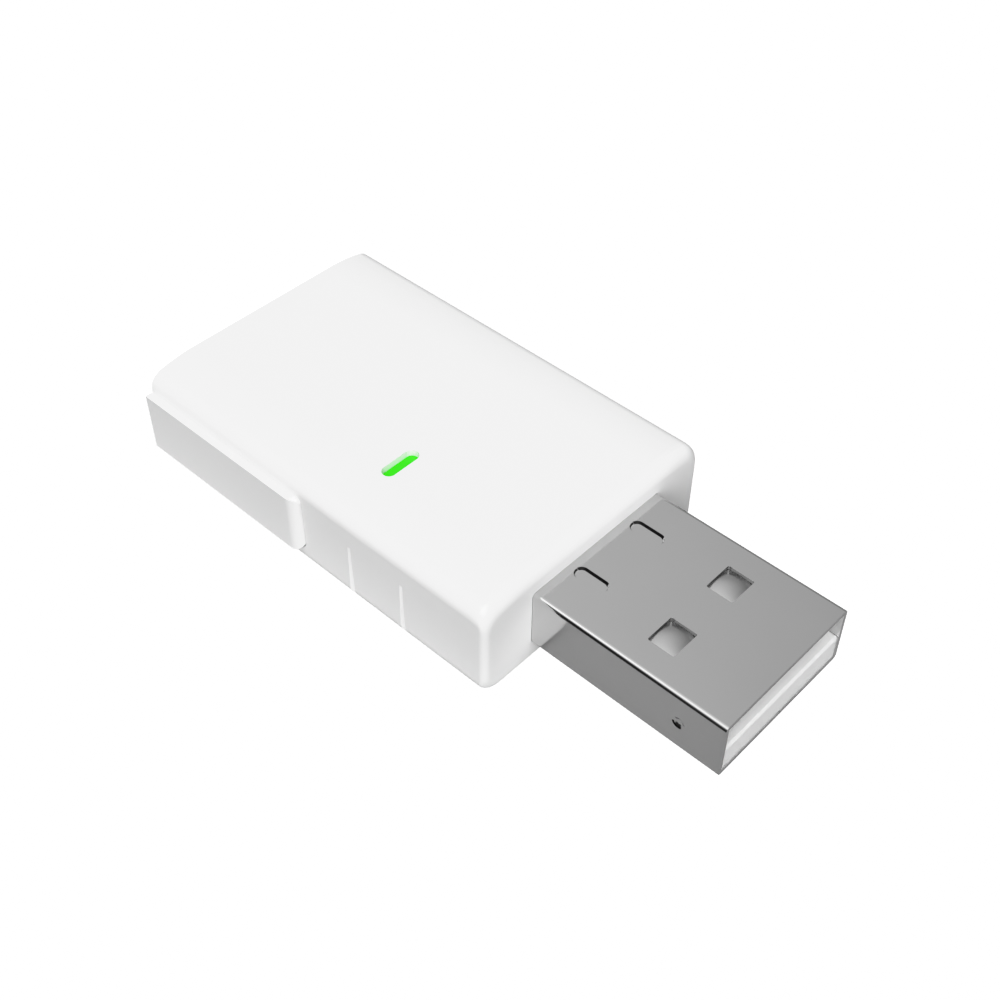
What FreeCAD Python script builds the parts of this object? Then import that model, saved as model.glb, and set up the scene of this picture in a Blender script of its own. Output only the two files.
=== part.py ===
import FreeCAD, Part
import math
import os

# A wireless gateway stick: a white moulded sleeve with a USB-A plug at one end.
# Millimetres. X runs along the plug, Z is up, and the origin is at the middle of
# the flat underside of the housing. The button is on the -Y side.

V = FreeCAD.Vector

# Housing outside
HOUSING_LENGTH = 31.3
HOUSING_WIDTH = 20.4
HOUSING_HEIGHT = 8.0
CROWN_RADIUS = 14.0
CROWN_ANGLE = 12.0
TOP_EDGE_RADIUS = 1.2
BOTTOM_EDGE_RADIUS = 1.3
FRONT_TOP_RADIUS = 1.0
FRONT_SIDE_RADIUS = 0.5
FRONT_FOOT_RADIUS = 0.75
FRONT_BAND_SHARES = (1, 0.74, 0.5, 0.37, 0.25, 0.146, 0.067, 0.017, 0)

# Housing walls
ROOF_WALL = 1.1
FLOOR_WALL = 1.1
SIDE_WALL = 1.7
FRONT_WALL = 1.6
CAVITY_CORNER_RADIUS = 0.8

# Finger grooves in the side wall, in front of the button
GROOVES_FROM_FRONT = (7.05, 11.7)
GROOVE_TOP_Z = 5.05
GROOVE_TOP_DEPTH = 0.13
GROOVE_FOOT_DEPTH = 0.25

# Light slot in the roof
LIGHT_FROM_FRONT = 12.55
LIGHT_Y = -4.68
LIGHT_SLOT_LENGTH = 2.98
LIGHT_SLOT_WIDTH = 0.99
LIGHT_RECESS = 0.45
LIGHT_FLANGE_BORDER = 0.4
LIGHT_FLANGE_HEIGHT = 0.6

# USB-A plug, to the common 12.0 by 4.5 mm shell
PLUG_WIDTH = 12.0
PLUG_HEIGHT = 4.5
PLUG_EXPOSED = 14.35
PLUG_BURIED = 4.4
PLUG_SHEET = 0.3
PLUG_CORNER_RADIUS = 0.3
WINDOW_LENGTH = 1.95
WINDOW_WIDTH = 2.28
WINDOW_FROM_TIP = 5.3
WINDOW_Y = 2.81
WINDOW_CORNER_RADIUS = 0.12
CRIMP_LENGTH = 2.5
CRIMP_WIDTH = 1.0
CRIMP_FROM_HOUSING = 0.5
CRIMP_Y = 2.67
CRIMP_DEPTH = 0.12
CRIMP_WALL_INSET = 0.09
DETENT_RADIUS = 0.45
DETENT_FROM_TIP = 3.1
DETENT_DEPTH = 0.12
DETENT_WALL_INSET = 0.25
SEAM_GAP = 0.03
SEAM_KEY_LENGTH = 4.0
SEAM_KEY_DEPTH = 1.5
SEAM_KEY_FLARE = 0.4
SHELL_TAB_LENGTH = 1.4
SHELL_TAB_REACH = 1.4
SHELL_TAB_FROM_REAR = 0.75

# Insulator and contacts in the plug
TONGUE_THICKNESS = 1.85
TONGUE_RECESS = 0.05
TONGUE_BEVEL = 0.15
MOUTH_DEPTH = 9.2
BLOCK_REAR_STEP = 0.2
CONTACT_WIDTH = 1.0
CONTACT_THICKNESS = 0.25
OUTER_CONTACT_Y = 3.5
INNER_CONTACT_Y = 1.0
OUTER_CONTACT_FROM_TIP = 2.2
INNER_CONTACT_FROM_TIP = 3.2
CONTACT_BARE_FROM_TIP = 5.1
CONTACT_DIP = 0.35
CONTACT_DIP_FROM_BLOCK = 0.6
CONTACT_TAIL = 2.0

# Circuit board
BOARD_THICKNESS = 1.0
BOARD_EDGE_INSET = 0.2
BOARD_REAR_GAP = 2.35
BOARD_CORNER_RADIUS = 0.5
NOTCH_CORNER_RADIUS = 0.2
RAIL_DEPTH = 0.8
RAIL_HEIGHT = 0.8
BUTTON_SIDE_RAIL_LENGTH = 13.5
FAR_SIDE_RAIL_LENGTH = 22.0

# Parts soldered on the board, with sizes as (length along X, width, height)
LAMP = (0.8, 1.6, 0.6)
LAMP_AIR_GAP = 0.2
CAN_LENGTH = 9.8
CAN_WIDTH = 9.6
CAN_HEIGHT = 1.9
CAN_SHEET = 0.2
CAN_CORNER_RADIUS = 0.5
CAN_VENT_RADIUS = 0.4
CAN_VENT_PITCH = 2.4
CAN_PART_GAP = 0.5
RADIO_CHIP = (5.0, 5.0, 0.85)
PIN_ONE_RADIUS = 0.3
PIN_ONE_DEPTH = 0.05
MEMORY_CHIP = (3.0, 2.0, 0.6)
CRYSTAL = (2.0, 2.5, 0.7)
REGULATOR = (2.9, 1.6, 1.1)
SURGE_CLAMP = (2.9, 1.3, 0.95)
LEAD_WIDTH = 0.4
LEAD_REACH = 0.5
LEAD_THICKNESS = 0.15
SURGE_CLAMP_FROM_SHELL = 0.3
COIL = (3.0, 3.0, 1.5)
COIL_CHAMFER = 0.5
POWER_PARTS_GAP = 1.2
AERIAL = (2.0, 7.0, 1.2)
CAPACITOR = (1.6, 0.8, 0.8)
CAPACITOR_PITCH = 1.6
CAPACITOR_COUNT = 6
RESISTOR = (1.0, 0.5, 0.35)
RESISTOR_PITCH = 1.2
RESISTOR_COUNT = 8

# Rear cap with its snap hooks
CAP_THICKNESS = 1.3
STOP_RIB_Y = 7.0
STOP_RIB_WIDTH = 1.0
STOP_RIB_HEIGHT = 2.0
HOOK_Y = 5.0
HOOK_WIDTH = 2.4
HOOK_THICKNESS = 0.7
HOOK_REACH = 3.2
HOOK_CATCH = 0.35
HOOK_BARB_LENGTH = 1.0

# Side button
BUTTON_LENGTH = 15.15
BUTTON_HEIGHT = 4.6
BUTTON_PROUD = 0.6
BUTTON_THICKNESS = 1.15
BUTTON_TRAVEL = 0.25
BUTTON_NOSE_RADIUS = 0.8
BUTTON_CORNER_RADIUS = 0.6
BUTTON_LEG_SPAN = 9.0
LEG_WIDTH = 2.0
LEG_THICKNESS = 0.7
LEG_HEIGHT_OVER_POST = 0.3
LEG_BARB_HEIGHT = 0.35
LEG_BARB_LENGTH = 0.7
POST_RADIUS = 0.7

# Side-pressed switch behind the button
SWITCH_FROM_REAR = 7.65
SWITCH_LENGTH = 4.5
SWITCH_DEPTH = 2.7
SWITCH_HEIGHT = 1.7
SWITCH_EDGE_INSET = 0.7
PLUNGER_LENGTH = 2.0
PLUNGER_HEIGHT = 0.8
PLUNGER_OUT = 0.6
PLUNGER_IN = 0.6

# Named clearances
PLUG_CLEARANCE = 0.02
INSULATOR_CLEARANCE = 0.03
BOARD_CLEARANCE = 0.06
CAP_CLEARANCE = 0.06
HOOK_CLEARANCE = 0.1
BUTTON_GAP = 0.08
BUTTON_OVERTRAVEL = 0.1
LEG_CLEARANCE = 0.12
POST_CLEARANCE = 0.1
LATCH_PLAY = 0.04
PLUNGER_CLEARANCE = 0.05
LIGHT_CLEARANCE = 0.04
CUT_OVERRUN = 0.5

# Places worked out from the sizes above
REAR_X = -HOUSING_LENGTH / 2
FRONT_X = HOUSING_LENGTH / 2
SIDE_Y = HOUSING_WIDTH / 2
INNER_Y = SIDE_Y - SIDE_WALL
ROOF_Z = HOUSING_HEIGHT - ROOF_WALL
FRONT_INNER_X = FRONT_X - FRONT_WALL
PLUG_CENTRE_Z = HOUSING_HEIGHT / 2
TIP_X = FRONT_X + PLUG_EXPOSED
SHELL_REAR_X = FRONT_X - PLUG_BURIED
SHELL_TOP_Z = PLUG_CENTRE_Z + PLUG_HEIGHT / 2
SHELL_FOOT_Z = PLUG_CENTRE_Z - PLUG_HEIGHT / 2
SHELL_INNER_Y = PLUG_WIDTH / 2 - PLUG_SHEET
TONGUE_FOOT_Z = SHELL_FOOT_Z + PLUG_SHEET + INSULATOR_CLEARANCE
TONGUE_TOP_Z = TONGUE_FOOT_Z + TONGUE_THICKNESS
BLOCK_FRONT_X = TIP_X - MOUTH_DEPTH
BLOCK_REAR_X = SHELL_REAR_X + BLOCK_REAR_STEP
BOARD_TOP_Z = TONGUE_TOP_Z - CONTACT_THICKNESS
BOARD_FOOT_Z = BOARD_TOP_Z - BOARD_THICKNESS
BOARD_Y = INNER_Y - BOARD_EDGE_INSET
BOARD_REAR_X = REAR_X + BOARD_REAR_GAP
BOARD_FRONT_X = FRONT_INNER_X - 2 * BOARD_CLEARANCE
BUTTON_FRONT_X = REAR_X + BUTTON_LENGTH
BUTTON_FACE_Y = -SIDE_Y - BUTTON_PROUD
BUTTON_BACK_Y = BUTTON_FACE_Y + BUTTON_THICKNESS
POCKET_FLOOR_Y = BUTTON_BACK_Y + BUTTON_TRAVEL + BUTTON_OVERTRAVEL
SWITCH_X = REAR_X + SWITCH_FROM_REAR
SWITCH_FACE_Y = -BOARD_Y + SWITCH_EDGE_INSET
PLUNGER_Z = BOARD_TOP_Z + SWITCH_HEIGHT / 2
PLUNGER_FACE_Y = SWITCH_FACE_Y - PLUNGER_OUT
LEG_X = (SWITCH_X - BUTTON_LEG_SPAN / 2, SWITCH_X + BUTTON_LEG_SPAN / 2)
LEG_FOOT_Z = PLUNGER_Z + LEG_HEIGHT_OVER_POST
LIGHT_X = FRONT_X - LIGHT_FROM_FRONT
TAIL_END_X = SHELL_REAR_X - CONTACT_TAIL
FAR_RAIL_Y = INNER_Y - RAIL_DEPTH
SWITCH_REAR_Y = SWITCH_FACE_Y + SWITCH_DEPTH
FREE_Y = (SWITCH_REAR_Y + FAR_RAIL_Y) / 2
CAN_Y = (LIGHT_Y + LIGHT_SLOT_LENGTH / 2 + FAR_RAIL_Y) / 2
SURGE_CLAMP_Y = -(OUTER_CONTACT_Y + CONTACT_WIDTH / 2 + FAR_RAIL_Y) / 2


def block(x_low, x_high, y_low, y_high, z_low, z_high):
    """Box between two corners, given as low and high along each axis."""
    return Part.makeBox(x_high - x_low, y_high - y_low, z_high - z_low, V(x_low, y_low, z_low))


def at_x(x):
    """Places outline points (u, v) as (y, z) on the plane at x."""
    return lambda u, v: V(x, u, v)


def at_y(y):
    """Places outline points (u, v) as (x, z) on the plane at y."""
    return lambda u, v: V(u, y, v)


def at_z(z):
    """Places outline points (u, v) as (x, y) on the plane at z."""
    return lambda u, v: V(u, v, z)


def corner_arc(before, corner, after, radius):
    """Start, middle and end of the arc that rounds one corner of an outline."""
    to_before = (before - corner).normalize()
    to_after = (after - corner).normalize()
    half_turn = to_before.getAngle(to_after) / 2
    reach = radius / math.tan(half_turn)
    centre = corner + (to_before + to_after).normalize() * (radius / math.sin(half_turn))
    middle = centre + (corner - centre).normalize() * radius
    return corner + to_before * reach, middle, corner + to_after * reach


def outline(corners, place):
    """Closed wire through (u, v, radius) corners, with a rounded corner where radius isn't 0."""
    points = [V(u, v, 0) for u, v, radius in corners]
    edges = []
    joints = []
    for index, (u, v, radius) in enumerate(corners):
        before = points[index - 1]
        after = points[(index + 1) % len(points)]
        if radius > 0:
            start, middle, end = corner_arc(before, points[index], after, radius)
            arc = Part.Arc(place(start.x, start.y), place(middle.x, middle.y), place(end.x, end.y))
            joints.append((start, arc.toShape(), end))
        else:
            joints.append((points[index], None, points[index]))
    for index, (start, arc, end) in enumerate(joints):
        if arc:
            edges.append(arc)
        following = joints[(index + 1) % len(joints)][0]
        if (following - end).Length > 1e-6:
            edges.append(Part.makeLine(place(end.x, end.y), place(following.x, following.y)))
    return Part.Wire(Part.__sortEdges__(edges))


def rectangle(u_low, u_high, v_low, v_high, radius):
    """Corners of a rectangle with one radius at all four."""
    corners = [(u_low, v_low), (u_high, v_low), (u_high, v_high), (u_low, v_high)]
    return [(u, v, radius) for u, v in corners]


def stadium(u, v, length, width):
    """Corners of a slot with round ends, its length along v."""
    return rectangle(u - width / 2, u + width / 2, v - length / 2, v + length / 2, width / 2)


def extrude(wire, direction):
    """Solid swept from a flat wire."""
    return Part.Face(wire).extrude(direction)


def polygon_prism(points, direction):
    """Solid swept from a polygon of points."""
    return extrude(Part.makePolygon(list(points) + [points[0]]), direction)


def joined(shapes):
    """One solid from several that meet."""
    whole = shapes[0]
    if len(shapes) > 1:
        whole = whole.fuse(shapes[1:])
    return whole.removeSplitter()


# Housing sleeve


def housing_outline(x, top_inset=0, side_inset=0, foot_inset=0):
    """Cross-section of the housing: a flat top that eases down to tight round edges."""
    angle = math.radians(CROWN_ANGLE)
    crown_extra = CROWN_RADIUS - TOP_EDGE_RADIUS
    top_z = HOUSING_HEIGHT - top_inset
    side_y = SIDE_Y - side_inset
    flat_y = side_y - TOP_EDGE_RADIUS - crown_extra * math.sin(angle)
    side_top_z = top_z - CROWN_RADIUS + crown_extra * math.cos(angle)
    foot_y = side_y - BOTTOM_EDGE_RADIUS
    side_foot_z = foot_inset + BOTTOM_EDGE_RADIUS
    edges = [Part.makeLine(V(x, -foot_y, foot_inset), V(x, foot_y, foot_inset))]
    edges.append(Part.makeLine(V(x, -flat_y, top_z), V(x, flat_y, top_z)))
    for side in (-1, 1):

        def on_arc(centre_y, centre_z, radius, turn):
            return V(x, side * (centre_y + radius * math.sin(turn)), centre_z + radius * math.cos(turn))

        def arc(centre_y, centre_z, radius, first, last):
            turns = (first, (first + last) / 2, last)
            return Part.Arc(*[on_arc(centre_y, centre_z, radius, turn) for turn in turns]).toShape()

        edges.append(arc(flat_y, top_z - CROWN_RADIUS, CROWN_RADIUS, 0, angle))
        edges.append(arc(side_y - TOP_EDGE_RADIUS, side_top_z, TOP_EDGE_RADIUS, angle, math.pi / 2))
        edges.append(Part.makeLine(V(x, side * side_y, side_top_z), V(x, side * side_y, side_foot_z)))
        edges.append(arc(foot_y, side_foot_z, BOTTOM_EDGE_RADIUS, math.pi / 2, math.pi))
    return Part.Wire(Part.__sortEdges__(edges))


def rounding_inset(radius, from_front):
    """How far a rounded edge of the front has drawn in at a distance behind the front face."""
    if from_front >= radius:
        return 0
    return radius - math.sqrt(radius**2 - (radius - from_front) ** 2)


def housing_body():
    """Outside of the housing: sharp at the rear, its front rounded over more along the top."""
    radii = (FRONT_TOP_RADIUS, FRONT_SIDE_RADIUS, FRONT_FOOT_RADIUS)
    reach = max(radii)
    sections = []
    for share in FRONT_BAND_SHARES:
        insets = [rounding_inset(radius, share * reach) for radius in radii]
        sections.append(housing_outline(FRONT_X - share * reach, *insets))
    front = Part.makeLoft(sections, True, True)
    body = extrude(housing_outline(REAR_X), V(HOUSING_LENGTH - reach, 0, 0))
    return joined([body, front])


def cavity_corners(clearance):
    """Outline of the inside of the sleeve, drawn in by a clearance for the cap."""
    y = INNER_Y - clearance
    return rectangle(-y, y, FLOOR_WALL + clearance, ROOF_Z - clearance, CAVITY_CORNER_RADIUS)


def cavity():
    """The inside of the sleeve, open at the rear."""
    start_x = REAR_X - CUT_OVERRUN
    return extrude(outline(cavity_corners(0), at_x(start_x)), V(FRONT_INNER_X - start_x, 0, 0))


def board_rails():
    """Ledges under the board's edges and shorter ribs over them."""
    rails = []
    end_x = FRONT_INNER_X + FRONT_WALL / 2
    ledge_z = BOARD_FOOT_Z - BOARD_CLEARANCE
    rib_z = BOARD_TOP_Z + BOARD_CLEARANCE
    for side, upper_length in ((-1, BUTTON_SIDE_RAIL_LENGTH), (1, FAR_SIDE_RAIL_LENGTH)):
        y_low, y_high = sorted((side * (INNER_Y - RAIL_DEPTH), side * (INNER_Y + SIDE_WALL / 2)))
        rails.append(block(BOARD_REAR_X, end_x, y_low, y_high, FLOOR_WALL / 2, ledge_z))
        rib_x = FRONT_INNER_X - upper_length
        rails.append(block(rib_x, end_x, y_low, y_high, rib_z, rib_z + RAIL_HEIGHT))
    return rails


def plug_opening():
    """Hole in the front wall for the metal shell."""
    y = PLUG_WIDTH / 2 + PLUG_CLEARANCE
    z_low = SHELL_FOOT_Z - PLUG_CLEARANCE
    z_high = SHELL_TOP_Z + PLUG_CLEARANCE
    corners = rectangle(-y, y, z_low, z_high, PLUG_CORNER_RADIUS + PLUG_CLEARANCE)
    start_x = FRONT_INNER_X - CUT_OVERRUN
    return extrude(outline(corners, at_x(start_x)), V(FRONT_WALL + 2 * CUT_OVERRUN, 0, 0))


def light_slot():
    """Round-ended hole through the roof."""
    corners = stadium(LIGHT_X, LIGHT_Y, LIGHT_SLOT_LENGTH, LIGHT_SLOT_WIDTH)
    return extrude(outline(corners, at_z(ROOF_Z - CUT_OVERRUN)), V(0, 0, ROOF_WALL + 2 * CUT_OVERRUN))


def finger_groove(x):
    """Shallow V cut that widens towards the base, its sides at 45 degrees."""
    sections = []
    for z, depth in ((GROOVE_TOP_Z, GROOVE_TOP_DEPTH), (-CUT_OVERRUN, GROOVE_FOOT_DEPTH)):
        half = depth + CUT_OVERRUN
        outer_y = -SIDE_Y - CUT_OVERRUN
        points = [V(x - half, outer_y, z), V(x + half, outer_y, z), V(x, outer_y + half, z)]
        sections.append(Part.makePolygon(points + [points[0]]))
    return Part.makeLoft(sections, True, True)


def button_outline(rear_x, grow, y):
    """Side view of the button: square at the rear, round corners at the front."""
    z_low = PLUG_CENTRE_Z - BUTTON_HEIGHT / 2 - grow
    z_high = PLUG_CENTRE_Z + BUTTON_HEIGHT / 2 + grow
    front_x = BUTTON_FRONT_X + grow
    radius = BUTTON_CORNER_RADIUS + grow
    corners = [(rear_x, z_low, 0), (front_x, z_low, radius), (front_x, z_high, radius), (rear_x, z_high, 0)]
    return outline(corners, at_y(y))


def button_pocket():
    """Recess in the side wall that the button slides in, open at the rear end."""
    outer_y = -SIDE_Y - CUT_OVERRUN
    wire = button_outline(REAR_X - CUT_OVERRUN, BUTTON_GAP, outer_y)
    return extrude(wire, V(0, POCKET_FLOOR_Y - outer_y, 0))


def button_wall_holes():
    """Holes through the pocket floor for the button's post and for its legs, with room to flex."""
    start_y = POCKET_FLOOR_Y - CUT_OVERRUN
    depth = -INNER_Y - POCKET_FLOOR_Y + 2 * CUT_OVERRUN
    centre = V(SWITCH_X, start_y, PLUNGER_Z)
    holes = [Part.makeCylinder(POST_RADIUS + POST_CLEARANCE, depth, centre, V(0, 1, 0))]
    for x in LEG_X:
        half = LEG_WIDTH / 2 + LEG_CLEARANCE
        z_low = LEG_FOOT_Z - LEG_BARB_HEIGHT - LEG_CLEARANCE
        z_high = LEG_FOOT_Z + LEG_THICKNESS + LEG_CLEARANCE
        holes.append(block(x - half, x + half, start_y, start_y + depth, z_low, z_high))
    return holes


def hook_places():
    """Side, direction and wall height of each of the cap's four hooks."""
    return [(side * HOOK_Y, up, ROOF_Z if up > 0 else FLOOR_WALL) for side in (-1, 1) for up in (-1, 1)]


def hook_tip_x():
    """Front end of the cap's hooks."""
    return REAR_X + CAP_THICKNESS + HOOK_REACH


def hook_recesses():
    """Blind recesses in the roof and floor that the hooks catch in."""
    recesses = []
    for y, up, wall_z in hook_places():
        half = HOOK_WIDTH / 2 + HOOK_CLEARANCE
        x_low = hook_tip_x() - HOOK_BARB_LENGTH - LATCH_PLAY
        z_low, z_high = sorted((wall_z - up * CUT_OVERRUN, wall_z + up * (HOOK_CATCH + HOOK_CLEARANCE)))
        recesses.append(block(x_low, hook_tip_x() + HOOK_CLEARANCE, y - half, y + half, z_low, z_high))
    return recesses


def housing_sleeve():
    """The one-piece moulded sleeve that everything slides into from the rear."""
    sleeve = housing_body().cut(cavity())
    sleeve = sleeve.fuse(board_rails())
    cuts = [plug_opening(), light_slot(), button_pocket()]
    cuts += button_wall_holes() + hook_recesses()
    cuts += [finger_groove(FRONT_X - distance) for distance in GROOVES_FROM_FRONT]
    return sleeve.cut(cuts).removeSplitter()


# Rear cap


def snap_hook(y, up, wall_z):
    """Sprung arm along a wall, with a barb that clicks into the wall's recess."""
    root_x = REAR_X + CAP_THICKNESS / 2
    near_z = wall_z - up * HOOK_CLEARANCE
    far_z = near_z - up * HOOK_THICKNESS
    catch_x = hook_tip_x() - HOOK_BARB_LENGTH
    points = [(root_x, near_z), (catch_x, near_z), (catch_x, wall_z + up * HOOK_CATCH)]
    points += [(hook_tip_x(), near_z), (hook_tip_x(), far_z), (root_x, far_z)]
    return polygon_prism([V(x, y - HOOK_WIDTH / 2, z) for x, z in points], V(0, HOOK_WIDTH, 0))


def rear_cap():
    """Flush cap in the open end, with hooks and two ribs that hold the board forward."""
    plate = extrude(outline(cavity_corners(CAP_CLEARANCE), at_x(REAR_X)), V(CAP_THICKNESS, 0, 0))
    pieces = [plate] + [snap_hook(*place) for place in hook_places()]
    board_z = (BOARD_TOP_Z + BOARD_FOOT_Z) / 2
    for side in (-1, 1):
        y = side * STOP_RIB_Y
        end_x = BOARD_REAR_X - BOARD_CLEARANCE
        z_low = board_z - STOP_RIB_HEIGHT / 2
        z_high = board_z + STOP_RIB_HEIGHT / 2
        half = STOP_RIB_WIDTH / 2
        pieces.append(block(REAR_X + CAP_THICKNESS / 2, end_x, y - half, y + half, z_low, z_high))
    return joined(pieces)


# Side button and its switch


def button_pad():
    """Pad that the finger presses: crisp long edges and a rounded nose."""
    side_view = extrude(button_outline(REAR_X, 0, BUTTON_FACE_Y), V(0, BUTTON_THICKNESS, 0))
    plan = [
        (REAR_X, BUTTON_FACE_Y, 0),
        (BUTTON_FRONT_X, BUTTON_FACE_Y, BUTTON_NOSE_RADIUS),
        (BUTTON_FRONT_X, BUTTON_BACK_Y, 0),
        (REAR_X, BUTTON_BACK_Y, 0),
    ]
    plan_view = extrude(outline(plan, at_z(0)), V(0, 0, HOUSING_HEIGHT))
    return side_view.common(plan_view)


def button_leg(x):
    """Snap leg through the pocket floor, its barb resting behind the wall."""
    catch_y = -INNER_Y + LATCH_PLAY
    tip_y = catch_y + LEG_BARB_LENGTH
    top_z = LEG_FOOT_Z + LEG_THICKNESS
    root_y = BUTTON_BACK_Y - BUTTON_THICKNESS / 2
    points = [(root_y, LEG_FOOT_Z), (tip_y, LEG_FOOT_Z), (tip_y, top_z)]
    points += [(catch_y, top_z + LEG_BARB_HEIGHT), (catch_y, top_z), (root_y, top_z)]
    return polygon_prism([V(x - LEG_WIDTH / 2, y, z) for y, z in points], V(LEG_WIDTH, 0, 0))


def side_button():
    """Moulded button: pad, two snap legs and the post that reaches the switch."""
    root_y = BUTTON_BACK_Y - BUTTON_THICKNESS / 2
    post = Part.makeCylinder(POST_RADIUS, PLUNGER_FACE_Y - root_y, V(SWITCH_X, root_y, PLUNGER_Z), V(0, 1, 0))
    return joined([button_pad(), post] + [button_leg(x) for x in LEG_X])


def plunger_box(grow, inner_y):
    """Room of the switch plunger, from in front of the switch to inner_y."""
    half = PLUNGER_LENGTH / 2 + grow
    z_low = PLUNGER_Z - PLUNGER_HEIGHT / 2 - grow
    z_high = PLUNGER_Z + PLUNGER_HEIGHT / 2 + grow
    return block(SWITCH_X - half, SWITCH_X + half, PLUNGER_FACE_Y, inner_y, z_low, z_high)


def switch_body():
    """Body of the side-pressed switch, on the edge of the board."""
    half = SWITCH_LENGTH / 2
    top_z = BOARD_TOP_Z + SWITCH_HEIGHT
    body = block(SWITCH_X - half, SWITCH_X + half, SWITCH_FACE_Y, SWITCH_REAR_Y, BOARD_TOP_Z, top_z)
    room_y = SWITCH_FACE_Y + PLUNGER_IN + BUTTON_TRAVEL + PLUNGER_CLEARANCE
    return body.cut(plunger_box(PLUNGER_CLEARANCE, room_y))


def switch_plunger():
    """Plunger of the switch, pressed by the button's post."""
    return plunger_box(0, SWITCH_FACE_Y + PLUNGER_IN)


# USB plug


def shell_section(inset, x_low, x_high):
    """Solid of the plug's rounded section, drawn in from the outside by inset."""
    y = PLUG_WIDTH / 2 - inset
    z_low = SHELL_FOOT_Z + inset
    z_high = SHELL_TOP_Z - inset
    radius = max(PLUG_CORNER_RADIUS - inset, PLUG_CORNER_RADIUS / 4)
    return extrude(outline(rectangle(-y, y, z_low, z_high, radius), at_x(x_low)), V(x_high - x_low, 0, 0))


def shell_windows():
    """Square latch windows through the top and bottom of the shell."""
    x_high = TIP_X - WINDOW_FROM_TIP
    windows = []
    for side in (-1, 1):
        y_low = side * WINDOW_Y - WINDOW_WIDTH / 2
        corners = rectangle(x_high - WINDOW_LENGTH, x_high, y_low, y_low + WINDOW_WIDTH, WINDOW_CORNER_RADIUS)
        for z in (SHELL_FOOT_Z, SHELL_TOP_Z - PLUG_SHEET):
            wire = outline(corners, at_z(z - CUT_OVERRUN / 2))
            windows.append(extrude(wire, V(0, 0, PLUG_SHEET + CUT_OVERRUN)))
    return windows


def crimp_dent(y, up, grow, surface_z):
    """Pressed dent with steep walls, as a solid that dips from surface_z."""
    centre_x = FRONT_X + CRIMP_FROM_HOUSING + CRIMP_LENGTH / 2
    wires = []
    for inset, depth in ((0, 0), (CRIMP_WALL_INSET, CRIMP_DEPTH + grow)):
        half_x = CRIMP_LENGTH / 2 - inset + grow
        half_y = CRIMP_WIDTH / 2 - inset + grow
        corners = rectangle(centre_x - half_x, centre_x + half_x, y - half_y, y + half_y, half_y)
        wires.append(outline(corners, at_z(surface_z - up * depth)))
    return Part.makeLoft(wires, True, True)


def side_dent(side, grow, surface_y):
    """Small round dent in the side of the shell near its tip."""
    base = V(TIP_X - DETENT_FROM_TIP, side * surface_y, PLUG_CENTRE_Z)
    radius = DETENT_RADIUS + grow
    return Part.makeCone(radius, radius - DETENT_WALL_INSET, DETENT_DEPTH + grow, base, V(0, -side, 0))


def shell_dents(sheet_inset, grow):
    """All dents of the shell, as pressed into the surface at sheet_inset below the outside."""
    dents = []
    for side in (-1, 1):
        dents.append(crimp_dent(side * CRIMP_Y, 1, grow, SHELL_TOP_Z - sheet_inset))
        dents.append(crimp_dent(side * CRIMP_Y, -1, grow, SHELL_FOOT_Z + sheet_inset))
        dents.append(side_dent(side, grow, PLUG_WIDTH / 2 - sheet_inset))
    return dents


def seam_piece(start, end):
    """Narrow cut between two (x, y) points in the underside of the shell."""
    along = V(end[0] - start[0], end[1] - start[1], 0).normalize() * (SEAM_GAP / 2)
    across = V(-along.y, along.x, 0)
    z = SHELL_FOOT_Z - CUT_OVERRUN
    first = V(start[0], start[1], z) - along
    last = V(end[0], end[1], z) + along
    points = [first - across, last - across, last + across, first + across]
    return polygon_prism(points, V(0, 0, CUT_OVERRUN + PLUG_SHEET + INSULATOR_CLEARANCE))


def shell_seam():
    """Seam where the rolled sheet meets, with a dovetail key half way."""
    middle_x = (SHELL_REAR_X + TIP_X) / 2
    neck = SEAM_KEY_LENGTH / 2
    head = neck + SEAM_KEY_FLARE
    route = [(SHELL_REAR_X - CUT_OVERRUN, 0), (middle_x - neck, 0), (middle_x - head, SEAM_KEY_DEPTH)]
    route += [(middle_x + head, SEAM_KEY_DEPTH), (middle_x + neck, 0), (TIP_X + CUT_OVERRUN, 0)]
    return [seam_piece(start, end) for start, end in zip(route, route[1:])]


def shell_tabs():
    """Solder tabs that fold out from the shell's sides on to the board."""
    x_low = SHELL_REAR_X + SHELL_TAB_FROM_REAR
    x_high = x_low + SHELL_TAB_LENGTH
    root_y = PLUG_WIDTH / 2 - PLUG_SHEET / 2
    end_y = PLUG_WIDTH / 2 + SHELL_TAB_REACH
    tabs = []
    for y_low, y_high in ((root_y, end_y), (-end_y, -root_y)):
        tabs.append(block(x_low, x_high, y_low, y_high, BOARD_TOP_Z, BOARD_TOP_Z + PLUG_SHEET))
    return tabs


def usb_shell():
    """Shell folded from thin sheet, with windows, pressed dents, a seam and solder tabs."""
    tube = shell_section(0, SHELL_REAR_X, TIP_X)
    tube = tube.cut(shell_section(PLUG_SHEET, SHELL_REAR_X - CUT_OVERRUN, TIP_X + CUT_OVERRUN))
    tube = tube.fuse(shell_tabs() + shell_dents(PLUG_SHEET, 0))
    return tube.cut(shell_dents(0, 0) + shell_windows() + shell_seam()).removeSplitter()


def contact_rows():
    """Name, place across the plug and front end of each contact."""
    outer_x = TIP_X - OUTER_CONTACT_FROM_TIP
    inner_x = TIP_X - INNER_CONTACT_FROM_TIP
    return [
        ("contact_power", OUTER_CONTACT_Y, outer_x),
        ("contact_data_minus", INNER_CONTACT_Y, inner_x),
        ("contact_data_plus", -INNER_CONTACT_Y, inner_x),
        ("contact_ground", -OUTER_CONTACT_Y, outer_x),
    ]


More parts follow.
